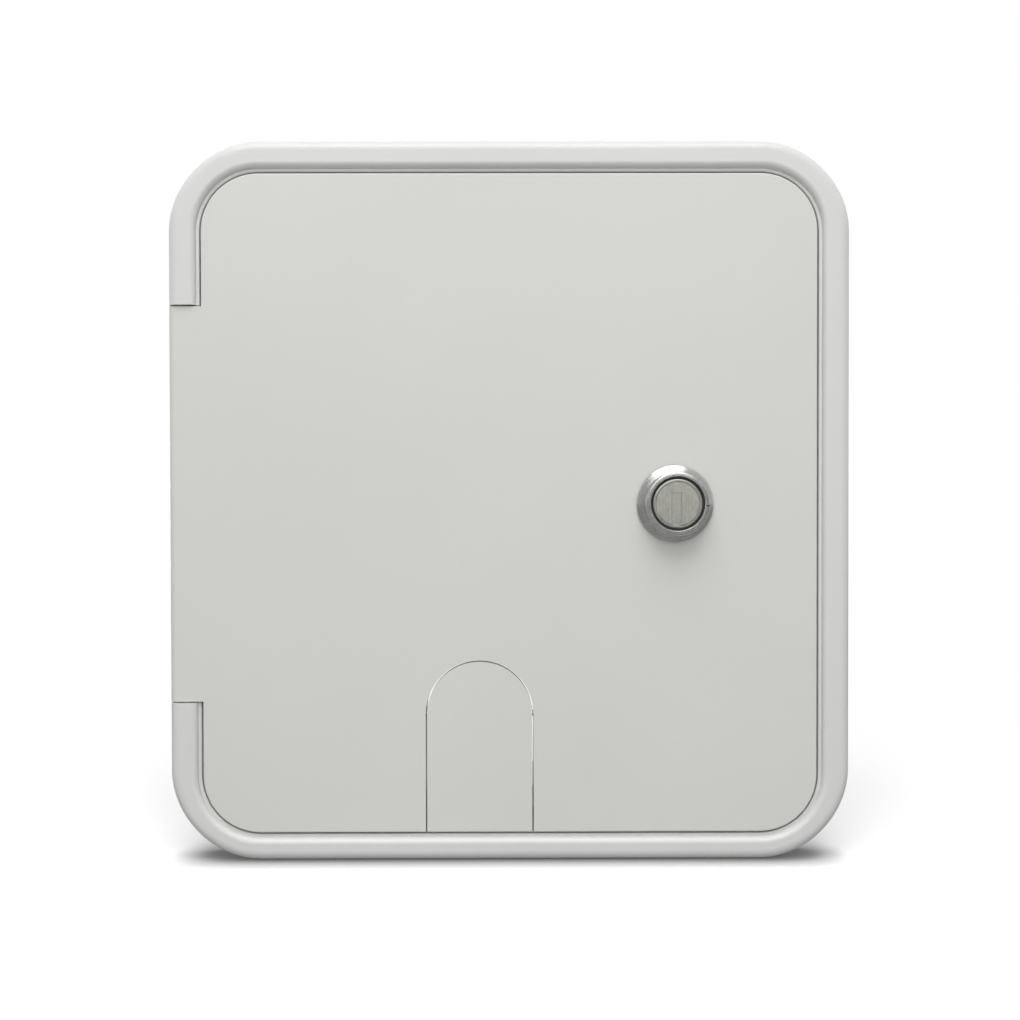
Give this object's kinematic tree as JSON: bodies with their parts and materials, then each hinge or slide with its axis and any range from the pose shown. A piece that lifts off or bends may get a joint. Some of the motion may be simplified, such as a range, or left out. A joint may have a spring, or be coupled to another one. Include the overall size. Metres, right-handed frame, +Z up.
{
  "type": "caravan power cord hatch with a lockable door and a cord flap",
  "caption": "Square white hatch for a caravan wall: a framed door on a side hinge, with a cam lock and an arched flap that lets a power cord out.",
  "frame": {"origin": "centre of the hatch on the wall plane, where the back of the rim and ledge lies", "axes": "+X to the right seen from outside, +Z up, +Y into the wall along the collar; the door faces -Y"},
  "size_m": [0.196, 0.0476, 0.2086],
  "materials": {
    "frame_plastic": "satin white moulding",
    "door_plastic": "fine-grained white moulding",
    "foam": "grey closed-cell foam strip",
    "seal_rubber": "black foam rubber",
    "steel": "bright drawn rod",
    "bezel_metal": "satin chrome",
    "plug_metal": "brushed",
    "black_rubber": "black rubber",
    "zinc": "zinc plated"
  },
  "bodies": {
    "frame": {"outer_frame": "frame_plastic", "wall_gasket": "foam", "upper_hinge_pin": "steel", "lower_hinge_pin": "steel"},
    "door": {"door_panel": "door_plastic", "door_seal": "seal_rubber", "flap_pin": "steel", "lock_housing": "bezel_metal", "lock_gasket": "black_rubber", "nut_washer": "zinc", "lock_nut": "zinc", "plug_ring": "black_rubber"},
    "flap": {"cord_flap": "door_plastic"},
    "lock": {"lock_plug": "plug_metal", "key_shutter": "plug_metal", "lock_cam": "zinc", "cam_washer": "zinc", "cam_screw": "zinc"}
  },
  "joints": [
    {"name": "door_hinge", "type": "hinge", "parent": "frame", "child": "door", "pos_m": [-0.0943, -0.0084, 0], "axis": [0, 0, -1], "range_deg": [0, 160]},
    {"name": "flap_hinge", "type": "hinge", "parent": "door", "child": "flap", "pos_m": [-0.0088, -0.009, -0.06065], "axis": [-1, 0, 0], "range_deg": [0, 85]},
    {"name": "lock_turn", "type": "hinge", "parent": "door", "child": "lock", "pos_m": [0.0475, 0, 0], "axis": [0, -1, 0], "range_deg": [0, 90]}
  ]
}
